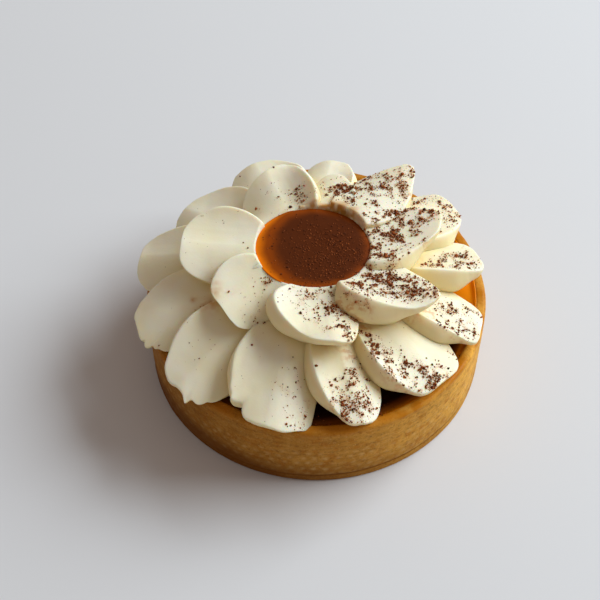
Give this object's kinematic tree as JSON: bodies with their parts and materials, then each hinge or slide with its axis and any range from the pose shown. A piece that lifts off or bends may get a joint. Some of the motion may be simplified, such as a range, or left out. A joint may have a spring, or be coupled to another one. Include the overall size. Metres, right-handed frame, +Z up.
{
  "type": "banoffee tart",
  "caption": "Round banoffee tart: shortcrust shell with toffee filling, topped by a tiered flower of piped cream petals around a caramel pool, dusted with cocoa.",
  "frame": {"origin": "centre of the tart's flat underside", "axes": "+Z up; -Y is the front, the side nearest the viewer; the tart is round about Z, and its cream flower is piped slightly off centre towards -X"},
  "size_m": [0.0823, 0.0806, 0.0402],
  "materials": {
    "crust": "matte, finely pitted baked pastry",
    "toffee": "glossy, translucent at thin edges",
    "cream": "soft satin, slightly translucent",
    "caramel": "wet gloss",
    "cocoa": "dry powder and crumbs"
  },
  "bodies": {
    "root": {"shell": "crust", "filling": "toffee", "mound": "cream", "pool": "caramel", "petal_outer_01": "cream", "petal_outer_02": "cream", "petal_outer_03": "cream", "petal_outer_04": "cream", "petal_outer_05": "cream", "petal_outer_06": "cream", "petal_outer_07": "cream", "petal_outer_08": "cream", "petal_outer_09": "cream", "petal_outer_10": "cream", "petal_outer_11": "cream", "petal_outer_12": "cream", "petal_outer_13": "cream", "petal_inner_01": "cream", "petal_inner_02": "cream", "petal_inner_03": "cream", "petal_inner_04": "cream", "petal_inner_05": "cream", "petal_inner_06": "cream", "petal_inner_07": "cream", "petal_inner_08": "cream"}
  },
  "joints": []
}
